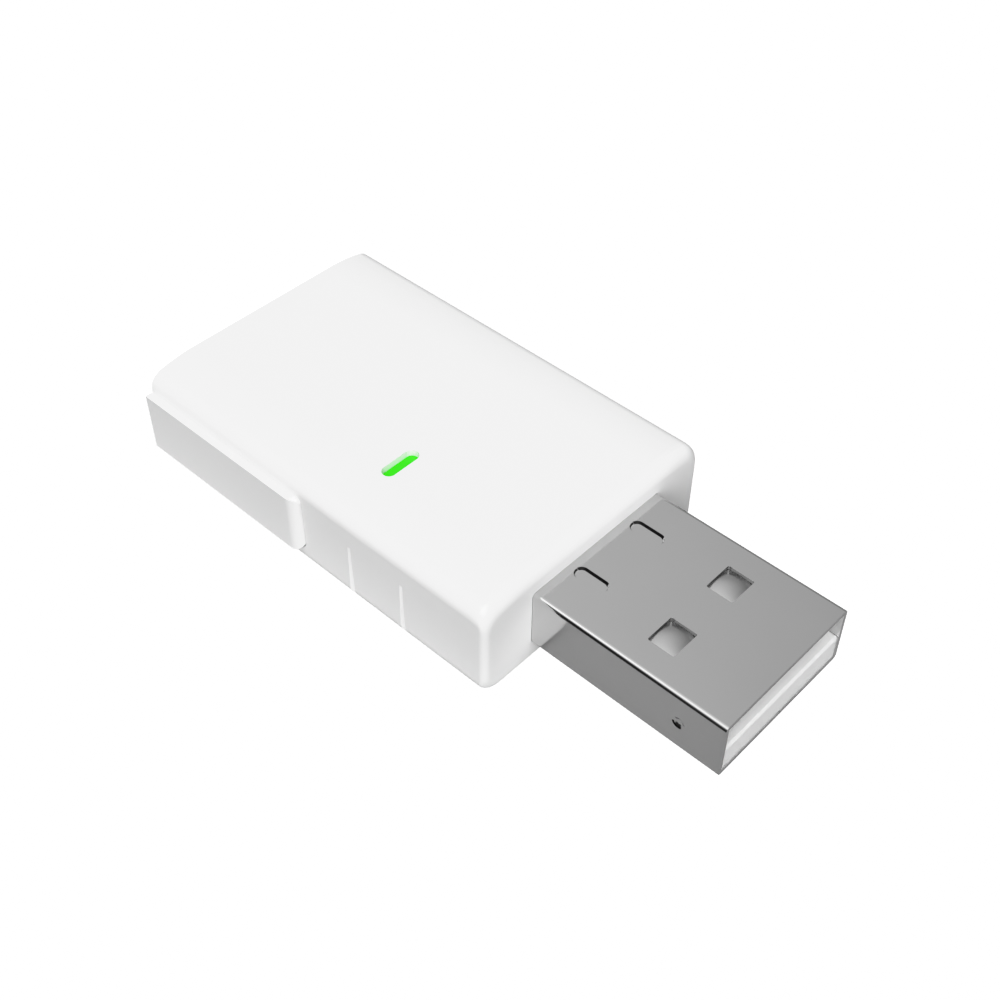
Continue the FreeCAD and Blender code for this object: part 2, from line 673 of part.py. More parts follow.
def contact_strip(y, front_x):
    """Strip that is bare near the tip, dips into the plastic and comes out on to the board."""
    rise_x = BLOCK_REAR_X + CONTACT_DIP_FROM_BLOCK
    bare_x = TIP_X - CONTACT_BARE_FROM_TIP
    low_z = TONGUE_TOP_Z - CONTACT_DIP
    upper = [(TAIL_END_X, TONGUE_TOP_Z), (rise_x, TONGUE_TOP_Z), (rise_x + CONTACT_DIP, low_z)]
    upper += [(bare_x - CONTACT_DIP, low_z), (bare_x, TONGUE_TOP_Z), (front_x, TONGUE_TOP_Z)]
    lower = [(x, z - CONTACT_THICKNESS) for x, z in reversed(upper)]
    return polygon_prism([V(x, y - CONTACT_WIDTH / 2, z) for x, z in upper + lower], V(0, CONTACT_WIDTH, 0))


def usb_insulator():
    """Block and tongue, moulded round the contacts, in the lower half of the plug."""
    inset = PLUG_SHEET + INSULATOR_CLEARANCE
    front_x = TIP_X - TONGUE_RECESS
    body = shell_section(inset, BLOCK_REAR_X, front_x)
    y = PLUG_WIDTH / 2
    cuts = [block(BLOCK_FRONT_X, TIP_X, -y, y, TONGUE_TOP_Z, SHELL_TOP_Z)]
    bevel = [V(front_x - TONGUE_BEVEL, -y, TONGUE_TOP_Z), V(front_x, -y, TONGUE_TOP_Z)]
    bevel.append(V(front_x, -y, TONGUE_TOP_Z - TONGUE_BEVEL))
    cuts.append(polygon_prism(bevel, V(0, 2 * y, 0)))
    cuts += shell_dents(inset, INSULATOR_CLEARANCE)
    cuts += [contact_strip(contact_y, contact_x) for name, contact_y, contact_x in contact_rows()]
    return body.cut(cuts).removeSplitter()


# Light pipe


def light_pipe():
    """Clear pipe that fills the slot, with a flange under the roof and a foot over the lamp."""
    length = LIGHT_SLOT_LENGTH - 2 * LIGHT_CLEARANCE
    width = LIGHT_SLOT_WIDTH - 2 * LIGHT_CLEARANCE
    border = 2 * LIGHT_FLANGE_BORDER
    foot_z = BOARD_TOP_Z + LAMP[2] + LAMP_AIR_GAP
    face_z = HOUSING_HEIGHT - LIGHT_RECESS
    stem = extrude(outline(stadium(LIGHT_X, LIGHT_Y, length, width), at_z(foot_z)), V(0, 0, face_z - foot_z))
    flange_wire = outline(
        stadium(LIGHT_X, LIGHT_Y, length + border, width + border),
        at_z(ROOF_Z - LIGHT_FLANGE_HEIGHT),
    )
    flange = extrude(flange_wire, V(0, 0, LIGHT_FLANGE_HEIGHT))
    return joined([stem, flange])


# Circuit board and what is soldered to it


def circuit_board():
    """Board with a notch at the front that the plug's shell drops into."""
    horn_y = PLUG_WIDTH / 2 + 2 * BOARD_CLEARANCE
    notch_x = SHELL_REAR_X - 2 * BOARD_CLEARANCE
    corners = [
        (BOARD_REAR_X, -BOARD_Y, BOARD_CORNER_RADIUS),
        (BOARD_FRONT_X, -BOARD_Y, BOARD_CORNER_RADIUS),
        (BOARD_FRONT_X, -horn_y, 0),
        (notch_x, -horn_y, NOTCH_CORNER_RADIUS),
        (notch_x, horn_y, NOTCH_CORNER_RADIUS),
        (BOARD_FRONT_X, horn_y, 0),
        (BOARD_FRONT_X, BOARD_Y, BOARD_CORNER_RADIUS),
        (BOARD_REAR_X, BOARD_Y, BOARD_CORNER_RADIUS),
    ]
    return extrude(outline(corners, at_z(BOARD_FOOT_Z)), V(0, 0, BOARD_THICKNESS))


def on_board(centre_x, centre_y, size):
    """Plain block of (length, width, height) soldered on the board at a centre."""
    length, width, height = size
    x_low = centre_x - length / 2
    y_low = centre_y - width / 2
    return block(x_low, x_low + length, y_low, y_low + width, BOARD_TOP_Z, BOARD_TOP_Z + height)


def leaded_chip(centre_x, centre_y, size, leads_low, leads_high):
    """Small moulded chip with flat leads on its two long sides."""
    length, width, height = size
    pieces = [on_board(centre_x, centre_y, size)]
    for side, count in ((-1, leads_low), (1, leads_high)):
        for index in range(count):
            x = centre_x + length * ((index + 0.5) / count - 0.5)
            y = centre_y + side * (width / 2 + LEAD_REACH / 2)
            pieces.append(on_board(x, y, (LEAD_WIDTH, LEAD_REACH, LEAD_THICKNESS)))
    return joined(pieces)


def column_places():
    """Centre along X of each column of parts, evenly spaced from the board's rear to the contacts."""
    lengths = {
        "aerial": AERIAL[0],
        "resistors": RESISTOR[0],
        "capacitors": CAPACITOR[0],
        "power": COIL[0],
        "can": CAN_LENGTH,
    }
    gap = (TAIL_END_X - BOARD_REAR_X - sum(lengths.values())) / (len(lengths) + 1)
    places = {}
    x = BOARD_REAR_X + gap
    for name, length in lengths.items():
        places[name] = x + length / 2
        x += length + gap
    return places


def can_plan(centre_x, inset):
    """Plan outline of the can, drawn in from its outside by inset."""
    x = CAN_LENGTH / 2 - inset
    y = CAN_WIDTH / 2 - inset
    return rectangle(centre_x - x, centre_x + x, CAN_Y - y, CAN_Y + y, CAN_CORNER_RADIUS - inset)


def shield_can(centre_x):
    """Folded steel can over the radio, open underneath, with round vents in its top."""
    can = extrude(outline(can_plan(centre_x, 0), at_z(BOARD_TOP_Z)), V(0, 0, CAN_HEIGHT))
    room_wire = outline(can_plan(centre_x, CAN_SHEET), at_z(BOARD_TOP_Z - CUT_OVERRUN))
    cuts = [extrude(room_wire, V(0, 0, CAN_HEIGHT - CAN_SHEET + CUT_OVERRUN))]
    for row in (-1, 0, 1):
        for column in (-1, 0, 1):
            x = centre_x + row * CAN_VENT_PITCH
            y = CAN_Y + column * CAN_VENT_PITCH
            cuts.append(Part.makeCylinder(CAN_VENT_RADIUS, CAN_HEIGHT, V(x, y, BOARD_TOP_Z + CAN_HEIGHT / 2)))
    return can.cut(cuts)


def corner_of_can(can_x, size, along, across):
    """Centre of a part that stands in one corner of the can's inside."""
    border = CAN_SHEET + CAN_PART_GAP
    reach_x = (CAN_LENGTH - size[0]) / 2 - border
    reach_y = (CAN_WIDTH - size[1]) / 2 - border
    return can_x + along * reach_x, CAN_Y + across * reach_y


def radio_chip(can_x):
    """Square radio processor under the can, with a dot at its first pin."""
    x, y = corner_of_can(can_x, RADIO_CHIP, 1, 1)
    reach = RADIO_CHIP[0] / 2 - 2 * PIN_ONE_RADIUS
    dot = V(x - reach, y - reach, BOARD_TOP_Z + RADIO_CHIP[2] - PIN_ONE_DEPTH)
    return on_board(x, y, RADIO_CHIP).cut(Part.makeCylinder(PIN_ONE_RADIUS, PIN_ONE_DEPTH + CUT_OVERRUN, dot))


def power_coil(centre_x):
    """Wound coil in a square moulding with its upright edges cut off."""
    coil = on_board(centre_x, FREE_Y + (POWER_PARTS_GAP + COIL[1]) / 2, COIL)
    upright = [edge for edge in coil.Edges if edge.BoundBox.ZLength > COIL[2] / 2]
    return coil.makeChamfer(COIL_CHAMFER, upright)


def voltage_regulator(centre_x):
    """Regulator beside the coil, with three leads on one side and two on the other."""
    y = FREE_Y - (POWER_PARTS_GAP + REGULATOR[1]) / 2 - LEAD_REACH
    return leaded_chip(centre_x, y, REGULATOR, 3, 2)


def surge_clamp():
    """Surge clamp beside the plug's contacts, with two leads on each side."""
    x = SHELL_REAR_X - SURGE_CLAMP_FROM_SHELL - SURGE_CLAMP[0] / 2
    return leaded_chip(x, SURGE_CLAMP_Y, SURGE_CLAMP, 2, 2)


def chip_row(centre_x, size, pitch, count):
    """Group of like small chips in a row across the board."""
    first_y = FREE_Y - pitch * (count - 1) / 2
    return Part.makeCompound([on_board(centre_x, first_y + index * pitch, size) for index in range(count)])


def all_nodes():
    """Every sub-part by its name."""
    columns = column_places()
    can_x = columns["can"]
    memory_x, memory_y = corner_of_can(can_x, MEMORY_CHIP, -1, 1)
    crystal_x, crystal_y = corner_of_can(can_x, CRYSTAL, -1, -1)
    nodes = {
        "housing_sleeve": housing_sleeve(),
        "rear_cap": rear_cap(),
        "side_button": side_button(),
        "switch_plunger": switch_plunger(),
        "switch_body": switch_body(),
        "light_pipe": light_pipe(),
        "usb_shell": usb_shell(),
        "usb_insulator": usb_insulator(),
        "circuit_board": circuit_board(),
        "status_lamp": on_board(LIGHT_X, LIGHT_Y, LAMP),
        "shield_can": shield_can(can_x),
        "radio_chip": radio_chip(can_x),
        "memory_chip": on_board(memory_x, memory_y, MEMORY_CHIP),
        "clock_crystal": on_board(crystal_x, crystal_y, CRYSTAL),
        "chip_aerial": on_board(columns["aerial"], FREE_Y, AERIAL),
        "voltage_regulator": voltage_regulator(columns["power"]),
        "power_coil": power_coil(columns["power"]),
        "surge_clamp": surge_clamp(),
        "capacitors": chip_row(columns["capacitors"], CAPACITOR, CAPACITOR_PITCH, CAPACITOR_COUNT),
        "resistors": chip_row(columns["resistors"], RESISTOR, RESISTOR_PITCH, RESISTOR_COUNT),
    }
    for name, y, front_x in contact_rows():
        nodes[name] = contact_strip(y, front_x)
    return nodes


os.makedirs("parts", exist_ok=True)
for node_name, node_shape in all_nodes().items():
    if len(node_shape.Solids) == 1:
        node_shape = node_shape.Solids[0]
    node_shape.exportStep(os.path.join("parts", node_name + ".step"))
    print(node_name, len(node_shape.Solids), round(node_shape.Volume, 2), node_shape.isValid())
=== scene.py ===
import math

import bpy
from mathutils import Matrix, Vector


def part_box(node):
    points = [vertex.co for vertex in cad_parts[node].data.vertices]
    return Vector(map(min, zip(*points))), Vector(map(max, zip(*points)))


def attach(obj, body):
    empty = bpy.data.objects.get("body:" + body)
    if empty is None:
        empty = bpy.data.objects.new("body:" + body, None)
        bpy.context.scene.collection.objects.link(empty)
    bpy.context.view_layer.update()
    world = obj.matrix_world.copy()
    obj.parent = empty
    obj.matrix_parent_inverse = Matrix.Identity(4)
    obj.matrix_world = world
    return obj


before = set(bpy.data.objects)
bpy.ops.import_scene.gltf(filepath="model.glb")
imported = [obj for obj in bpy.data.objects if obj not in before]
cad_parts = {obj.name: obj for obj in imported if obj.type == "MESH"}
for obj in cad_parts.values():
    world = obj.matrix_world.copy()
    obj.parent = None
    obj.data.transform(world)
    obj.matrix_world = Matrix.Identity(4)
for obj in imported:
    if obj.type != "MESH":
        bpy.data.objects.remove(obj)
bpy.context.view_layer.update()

# A white gateway stick with a USB-A plug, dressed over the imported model. Metres, +X out through
# the plug, +Z up, -Y towards the button. Colours are linear.

MM = 0.001

# Camera of the photograph
CAMERA_PLACE = Vector((52.6652, -49.0773, 71.2512)) * MM
CAMERA_AZIMUTH = 42.6861
CAMERA_ELEVATION = 45.1121
CAMERA_ROLL = -0.4328
CAMERA_LENS = 51.944
CAMERA_SENSOR = 36.0
CAMERA_NEAR = 0.005
CAMERA_FAR = 20.0

# Floor: white to the camera. Otherwise a pale sheet on a dark table, which ends a little past
# the button and the plug's tip
FLOOR_SIZE = 3.0
FLOOR_GLOW = 0.8
FLOOR_WHITE = 1.6
SHEET_BOUNCE = 0.34
SHEET_CENTRE = Vector((-0.0145, 0.0029, 0.0))
SHEET_HALF = Vector((0.0455, 0.0141, 1.0))
SHEET_FADE = 0.007
TABLE_BOUNCE = 0.02

# Light: soft areas of the sky, as azimuth, elevation, strength and tightness. The key reaches
# down to the horizon, the high ones stay above it and the low one fills in behind the stick.
# The four heights below them are where the high ones start and the low one ends
SKY_KEY = (-44.0, 34.5, 3.98, 6.0)
SKY_HIGH = ((-88.0, 60.0, 1.2, 4.5), (150.0, 50.5, 0.7, 3.5), (212.0, 52.0, 1.6, 60.0))
SKY_LOW = (128.0, 6.0, 0.5, 1.2)
HORIZON_DARK = 0.46
HORIZON_LIGHT = 0.64
LOW_FULL = 0.3
LOW_GONE = 0.6
BACKDROP_WHITE = 1.6

# Photographic shoulder, as light in the scene and what the picture shows for it
COMBINED_CURVE = 3
WHITE_LEVEL = 1.3
SHOULDER = ((0.80, 0.80), (0.88, 0.865), (0.96, 0.892), (1.12, 0.905), (1.25, 1.0))

# Pressed catches on the plug: middle, straight core, and the walls that get painted shade
CATCH_MIDDLE = Vector((17.4, 2.67, 6.2)) * MM
CATCH_CORE = Vector((0.75, 0.0, 1.0)) * MM
CATCH_LINE = (0.38 * MM, 0.54 * MM)
CATCH_SHADED_Y = 0.15 * MM
CATCH_SHADED_X = 1.0 * MM
CATCH_LOW_Z = 5.9 * MM

# Round dents in the plug's sides: middle, the ring of painted shade, and how far it reaches
DENT_MIDDLE = Vector((26.9, 6.0, 4.0)) * MM
DENT_RING = (0.35 * MM, 0.46 * MM)
DENT_DEEP = 0.3 * MM
DENT_SHADED_X = 0.2 * MM
DENT_SHADED_Z = -0.05 * MM

# Punched walls of the plug's windows: middle and half size of a box just outside the hole, how
# far from it still counts as inside, and how dark the painted shade on them is. Under each window
# lies a domed leaf, its crown a little off the middle
WINDOW_MIDDLE = Vector((23.725, 2.81, 6.07)) * MM
WINDOW_HALF = Vector((1.0, 1.165, 0.165)) * MM
WINDOW_EDGE = 1e-7
WINDOW_SHADE = 0.62
LEAF_TOP_Z = 6.19 * MM
LEAF_SHEET = 0.025 * MM
LEAF_SIZES = {
    "Length": 2.05 * MM, "Width": 2.38 * MM, "Bow": 4.0 * MM, "Crest X": -0.1 * MM,
    "Crest Y": -0.1 * MM,
}

# Small work on the board: tinned chip ends, plated rings round the can, and solder, with the
# places of the tails and tabs in millimetres
CAP_WRAP = 0.38
CAP_LIP = 0.03 * MM
CAP_ROUND = 0.05 * MM
RING_SIZES = {"Pitch": 0.95 * MM, "Radius": 0.17 * MM, "Bead": 0.04 * MM}
RING_MARGIN = (0.9 * MM, 0.8 * MM)
DOME_SIZES = {"Length": 1.5 * MM, "Width": 1.3 * MM, "Height": 0.62 * MM}
CONTACT_TAILS = [(9.9, y) for y in (-3.5, -1.0, 1.0, 3.5)]
SHELL_TABS = [(12.7, y) for y in (-7.2, 7.2)]

# Colours
PAPER_WHITE = (1.0, 1.0, 1.0, 1.0)
HOUSING_WHITE = (0.90, 0.90, 0.899, 1.0)
BUTTON_WHITE = (0.91, 0.91, 0.909, 1.0)
INSULATOR_WHITE = (0.975, 0.975, 0.973, 1.0)
LAMP_GREEN = (0.035, 0.67, 0.0, 1.0)
LAMP_GREEN_DIM = (0.03, 0.57, 0.0, 1.0)
LAMP_GLASS = (0.01, 0.35, 0.0, 1.0)
STEEL = (0.655, 0.655, 0.655, 1.0)
STEEL_DARK = (0.62, 0.62, 0.62, 1.0)
# Painted shade: near black laid on the plug's catch walls, dent rings and window walls
PAINTED_SHADE_BLACK = (0.012, 0.012, 0.012, 1.0)
GOLD = (0.86, 0.60, 0.22, 1.0)
GOLD_DARK = (0.74, 0.48, 0.15, 1.0)
LACQUER_GREEN = (0.02, 0.15, 0.065, 1.0)
LACQUER_GREEN_DARK = (0.012, 0.10, 0.045, 1.0)

# Grain of the finishes: features in a metre, along each axis for lines. Depths are in metres
TONE_GRAIN = 140.0
TONE_DARK = 0.985
SPARK_GRAIN = 9000.0
STEEL_TONE_GRAIN = 180.0
ROLLING_LINES = (260.0, 9000.0, 9000.0)
ROLLING_DEPTH = 0.4e-6
WEAR_LINES = (400.0, 12000.0, 12000.0)
WEAR_DEPTH = 0.5e-6
GLOW_GRAIN = 700.0
WEAVE_GRAIN = 2600.0
WEAVE_DEPTH = 4e-6

# Roughness of the surfaces from 0 to 1, and how widely it swings with each kind of grain
SHELL_ROUGH = 0.11
TIN_ROUGH = 0.3
# Painted shade is rougher by this much
PAINTED_SHADE_ROUGH = 0.3
GOLD_ROUGH = 0.22
LAMP_ROUGH = 0.25
LACQUER_ROUGH = 0.32
TONE_SWING = 0.06
SPARK_SWING = 0.08
ROLLING_SWING = 0.05
STEEL_TONE_SWING = 0.03
PLAIN_SWING = 0.1
GRAIN_SWING = 0.12

# How the clear coat, the plastics and the lamp bend, soak up and give light
LACQUER_COAT = 0.4
PLASTIC_BEND = 1.46
LAMP_BEND = 1.35
LAMP_STRENGTH = 0.75
SOAKED_SHARE = 0.8

# Sockets that share a name with others in their node, so they go by number
MIX_FIRST = 6
MIX_SECOND = 7
MIX_RESULT = 2

# Digits after the point that tell two heights in metres apart
LEVEL_DIGITS = 7


class Wire:
    """An output socket of a node; sums and products with it add Math nodes."""

    def __init__(self, net, socket):
        self.net = net
        self.socket = socket

    def math(self, operation, first, second):
        """One Math node."""
        return self.net.node("ShaderNodeMath", {"operation": operation}, {0: first, 1: second})

    def __add__(self, other):
        return self.math("ADD", self, other)

    __radd__ = __add__

    def __sub__(self, other):
        return self.math("SUBTRACT", self, other)

    def __rsub__(self, other):
        return self.math("SUBTRACT", other, self)

    def __mul__(self, other):
        return self.math("MULTIPLY", self, other)

    __rmul__ = __mul__

    def __truediv__(self, other):
        return self.math("DIVIDE", self, other)

    def __rtruediv__(self, other):
        return self.math("DIVIDE", other, self)

    def __pow__(self, other):
        return self.math("POWER", self, other)

    def at_least(self, other):
        """The larger of the two."""
        return self.math("MAXIMUM", self, other)

    def __gt__(self, other):
        return self.math("GREATER_THAN", self, other)

    def __lt__(self, other):
        return self.math("LESS_THAN", self, other)


class Net:
    """A node tree being made. node() adds any node, and its result works in sums."""

    def __init__(self, tree):
        self.tree = tree

    def node(self, kind, settings=None, inputs=None, output=0):
        """Any node: first its settings, then values or links for its inputs."""
        made = self.tree.nodes.new(kind)
        for name, value in (settings or {}).items():
            setattr(made, name, value)
        for key, value in (inputs or {}).items():
            if isinstance(value, Wire):
                self.tree.links.new(value.socket, made.inputs[key])
            else:
                made.inputs[key].default_value = value
        return Wire(self, made.outputs[output]) if len(made.outputs) else None

    def vector(self, operation, first, second=(0.0, 0.0, 0.0), output=0):
        """One step of vector sums. A length or a dot product gives its number in Value."""
        settings = {"operation": operation}
        return self.node("ShaderNodeVectorMath", settings, {0: first, 1: second}, output)

    def along(self, axis, spot):
        """One coordinate of a position, by axis number."""
        return self.node("ShaderNodeSeparateXYZ", {}, {0: spot}, output=axis)


class Finish(Net):
    """A material or a world being made."""

    def __init__(self, name, kept_in=None):
        kept_in = bpy.data.materials if kept_in is None else kept_in
        self.material = kept_in.new(name)
        self.material.use_nodes = True
        super().__init__(self.material.node_tree)
        self.tree.nodes.clear()

    def place(self, stretch=(1.0, 1.0, 1.0)):
        """Position on the piece in metres, times a stretch along each axis."""
        spot = self.node("ShaderNodeTexCoord", output="Object")
        return spot if stretch == (1.0, 1.0, 1.0) else self.vector("MULTIPLY", spot, stretch)

    def outside(self, from_middle, half_size):
        """Distance to a box about its middle: 0 anywhere inside it."""
        away = self.vector("SUBTRACT", self.vector("ABSOLUTE", from_middle), half_size)
        return self.vector("LENGTH", self.vector("MAXIMUM", away), output="Value")

    def rise(self, value, low, high, start=0.0, end=1.0):
        """Soft step from start to end while a value goes from low to high."""
        return self.node("ShaderNodeMapRange", {"interpolation_type": "SMOOTHSTEP"}, {
            "Value": value, "From Min": low, "From Max": high, "To Min": start, "To Max": end,
        })

    def noise(self, per_metre, detail=2.0, stretch=(1.0, 1.0, 1.0)):
        """Noise from 0 to 1, with about this many features in a metre."""
        inputs = {"Vector": self.place(stretch), "Scale": per_metre, "Detail": detail}
        return self.node("ShaderNodeTexNoise", {}, inputs)

    def blend(self, share, first, second):
        """Colour between two colours."""
        inputs = {0: share, MIX_FIRST: first, MIX_SECOND: second}
        return self.node("ShaderNodeMix", {"data_type": "RGBA"}, inputs, MIX_RESULT)

    def uneven(self, level, *swings):
        """A level that swings about with noises. Each swing is a noise and its whole width."""
        for noise, width in swings:
            level = level + (noise - 0.5) * width
        return level

    def bump(self, height, depth):
        """Normal for a height from 0 to 1 that stands for this depth in metres."""
        inputs = {"Strength": 1.0, "Distance": depth, "Height": height}
        return self.node("ShaderNodeBump", {}, inputs)

    def surface(self, inputs):
        """Ends the finish with one Principled shader."""
        shader = self.node("ShaderNodeBsdfPrincipled", {}, inputs)
        self.node("ShaderNodeOutputMaterial", {}, {"Surface": shader})
        return self.material


def moulded_white(name, colour, roughness, spark_depth, soak=0.0):
    """White moulded plastic: fine spark finish, with a faint slow change in tone and gloss.
    Soak is how far light spreads inside it, in metres."""
    finish = Finish(name)
    slow = finish.noise(TONE_GRAIN)
    spark = finish.noise(SPARK_GRAIN, detail=3.0)
    shade = (*(channel * TONE_DARK for channel in colour[:3]), 1.0)
    return finish.surface({
        "Base Color": finish.blend(slow, shade, colour),
        "Roughness": finish.uneven(roughness, (slow, TONE_SWING), (spark, SPARK_SWING)),
        "IOR": PLASTIC_BEND,
        "Subsurface Weight": SOAKED_SHARE if soak else 0.0,
        "Subsurface Radius": (1.0, 1.0, 1.0),
        "Subsurface Scale": soak,
        "Normal": finish.bump(spark, spark_depth),
    })


def painted_shade_share(finish):
    """Share of painted shade, near black: on the pressed catches, the side dents and the window
    walls.
    """
    place = finish.place()
    spot = finish.vector("ABSOLUTE", place)
    side = 1.0 - (finish.along(1, place) < 0.0) * 2.0

    # Painted shade on the catch walls, the lower rims of the dents and the window walls
    from_catch = finish.vector("SUBTRACT", spot, CATCH_MIDDLE)
    from_core = finish.outside(from_catch, CATCH_CORE)
    line = (from_core > CATCH_LINE[0]) * (from_core < CATCH_LINE[1])
    far_side = finish.along(1, from_catch) * side > CATCH_SHADED_Y
    rearward = finish.along(0, from_catch) < CATCH_SHADED_X
    catches = line * far_side * rearward * (finish.along(2, spot) > CATCH_LOW_Z)

    from_dent = finish.vector("SUBTRACT", spot, DENT_MIDDLE)
    flat = finish.vector("MULTIPLY", from_dent, (1.0, 0.0, 1.0))
    radius = finish.vector("LENGTH", flat, output="Value")
    ring = (radius > DENT_RING[0]) * (radius < DENT_RING[1])
    wall = ring * (finish.along(1, from_dent) > -DENT_DEEP)
    low = finish.along(2, from_dent) < DENT_SHADED_Z
    dents = wall * low * (finish.along(0, from_dent) < DENT_SHADED_X)

    from_window = finish.vector("SUBTRACT", spot, WINDOW_MIDDLE)
    windows = finish.outside(from_window, WINDOW_HALF) < WINDOW_EDGE
    return catches + dents + windows * WINDOW_SHADE


def bright_steel(name, roughness, painted_shade=None):
    """Plated steel sheet, nearly a mirror, with fine rolling lines along the plug, and near black
    painted shade where a share of it is given."""
    finish = Finish(name)
    lines = finish.noise(1.0, detail=3.0, stretch=ROLLING_LINES)
    slow = finish.noise(STEEL_TONE_GRAIN)
    steel = finish.blend(slow, STEEL_DARK, STEEL)
    roughness = finish.uneven(roughness, (lines, ROLLING_SWING), (slow, STEEL_TONE_SWING))
    # Painted shade: near black colour and more roughness where the share is given
    if painted_shade:
        share = painted_shade(finish)
        steel = finish.blend(share, steel, PAINTED_SHADE_BLACK)
        roughness = roughness + share * PAINTED_SHADE_ROUGH
    return finish.surface({
        "Base Color": steel,
        "Metallic": 1.0,
        "Roughness": roughness,
        "Normal": finish.bump(lines, ROLLING_DEPTH),
    })


def gold_plate():
    """Polished gold plating with slight wear lines along the strips."""
    finish = Finish("gold_plate")
    lines = finish.noise(1.0, detail=3.0, stretch=WEAR_LINES)
    return finish.surface({
        "Base Color": finish.blend(lines, GOLD_DARK, GOLD),
        "Metallic": 1.0,
        "Roughness": finish.uneven(GOLD_ROUGH, (lines, PLAIN_SWING)),
        "Normal": finish.bump(lines, WEAR_DEPTH),
    })


def lit_green():
    """Clear green piece that glows, a little unevenly."""
    finish = Finish("lit_green")
    slow = finish.noise(GLOW_GRAIN, detail=1.0)
    return finish.surface({
        "Base Color": LAMP_GLASS,
        "Roughness": finish.uneven(LAMP_ROUGH, (slow, PLAIN_SWING)),
        "IOR": LAMP_BEND,
        "Emission Color": finish.blend(slow, LAMP_GREEN_DIM, LAMP_GREEN),
        "Emission Strength": LAMP_STRENGTH,
    })


def solder_mask():
    """Green lacquered board with a faint weave under the lacquer."""
    finish = Finish("solder_mask")
    weave = finish.noise(WEAVE_GRAIN, detail=1.0)
    return finish.surface({
        "Base Color": finish.blend(weave, LACQUER_GREEN_DARK, LACQUER_GREEN),
        "Roughness": finish.uneven(LACQUER_ROUGH, (weave, PLAIN_SWING)),
        "Coat Weight": LACQUER_COAT,
        "Normal": finish.bump(weave, WEAVE_DEPTH),
    })


def grainy(name, dark, light, roughness, per_metre, depth):
    """Matt moulded or fired material with a fine grain between two colours."""
    finish = Finish(name)
    grain = finish.noise(per_metre, detail=3.0)
    return finish.surface({
        "Base Color": finish.blend(grain, (*dark, 1.0), (*light, 1.0)),
        "Roughness": finish.uneven(roughness, (grain, GRAIN_SWING)),
        "Normal": finish.bump(grain, depth),
    })


def dress(node, material):
    """Gives a carried-over CAD piece its finish."""
    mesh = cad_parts[node].data
    mesh.materials.clear()
    mesh.materials.append(material)


def dress_all():
    """Finishes of all carried-over pieces, and the small pieces that are added to them."""
    white = moulded_white("white_housing", HOUSING_WHITE, roughness=0.55, spark_depth=2.5e-6)
    button_white = moulded_white(
        "white_button", BUTTON_WHITE, roughness=0.5, spark_depth=1.5e-6)
    insulator = moulded_white(
        "white_insulator", INSULATOR_WHITE, roughness=0.7, spark_depth=3.0e-6, soak=0.45 * MM)
    # The plug's steel gets painted shade on its catches, dents and window walls
    shell = bright_steel("plug_steel", SHELL_ROUGH, painted_shade_share)
    tinned = bright_steel("tinned_steel", TIN_ROUGH)
    gold = gold_plate()
    green = lit_green()
    black = grainy(
        "black_moulding", dark=(0.012, 0.012, 0.013), light=(0.03, 0.03, 0.032),
        roughness=0.55, per_metre=7000.0, depth=3e-6)
    ceramic = grainy(
        "pale_ceramic", dark=(0.62, 0.67, 0.70), light=(0.74, 0.78, 0.80),
        roughness=0.45, per_metre=5000.0, depth=2e-6)
    ferrite = grainy(
        "dark_ferrite", dark=(0.035, 0.035, 0.038), light=(0.07, 0.07, 0.075),
        roughness=0.7, per_metre=4000.0, depth=6e-6)
    tan = grainy(
        "tan_ceramic", dark=(0.38, 0.25, 0.12), light=(0.50, 0.35, 0.19),
        roughness=0.5, per_metre=6000.0, depth=2e-6)
    finishes = {
        "housing_sleeve": white,
        "rear_cap": white,
        "side_button": button_white,
        "switch_plunger": insulator,
        "switch_body": black,
        "light_pipe": green,
        "status_lamp": green,
        "usb_shell": shell,
        "usb_insulator": insulator,
        "contact_power": gold,
        "contact_data_minus": gold,
        "contact_data_plus": gold,
        "contact_ground": gold,
        "circuit_board": solder_mask(),
        "shield_can": tinned,
        "clock_crystal": tinned,
        "radio_chip": black,
        "memory_chip": black,
        "voltage_regulator": black,
        "surge_clamp": black,
        "resistors": black,
        "chip_aerial": ceramic,
        "power_coil": ferrite,
        "capacitors": tan,
    }
    for node, material in finishes.items():
        dress(node, material)
    window_leaves(bright_steel("satin_leaf", TIN_ROUGH))
    end_caps("capacitor_ends", "capacitors", tinned)
    end_caps("resistor_ends", "resistors", tinned)
    via_rings(gold)
    solder_domes(tinned)


